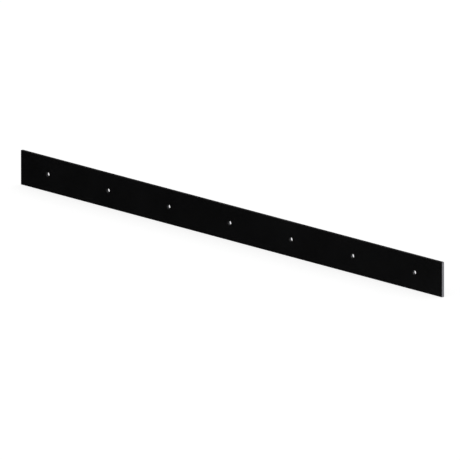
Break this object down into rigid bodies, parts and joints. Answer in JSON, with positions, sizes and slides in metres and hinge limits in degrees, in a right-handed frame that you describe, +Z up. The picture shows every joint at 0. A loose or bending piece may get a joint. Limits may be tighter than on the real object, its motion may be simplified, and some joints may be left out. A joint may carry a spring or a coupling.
{
  "type": "plow wear bar",
  "caption": "Long flat steel bar with a row of round bolt holes along its middle, the replaceable scraping edge of an ATV snow plow blade.",
  "frame": {"origin": "centre of the middle bolt hole, on the rear face that lies against the moldboard", "axes": "+X along the bar, +Y out of the rear face, +Z up, with the scraping edge at the bottom"},
  "size_m": [1.27, 0.0063, 0.0762],
  "materials": {
    "black_powder_coat": "black semi-gloss powder coat over steel"
  },
  "bodies": {
    "root": {"wear_bar": "black_powder_coat"}
  },
  "joints": []
}
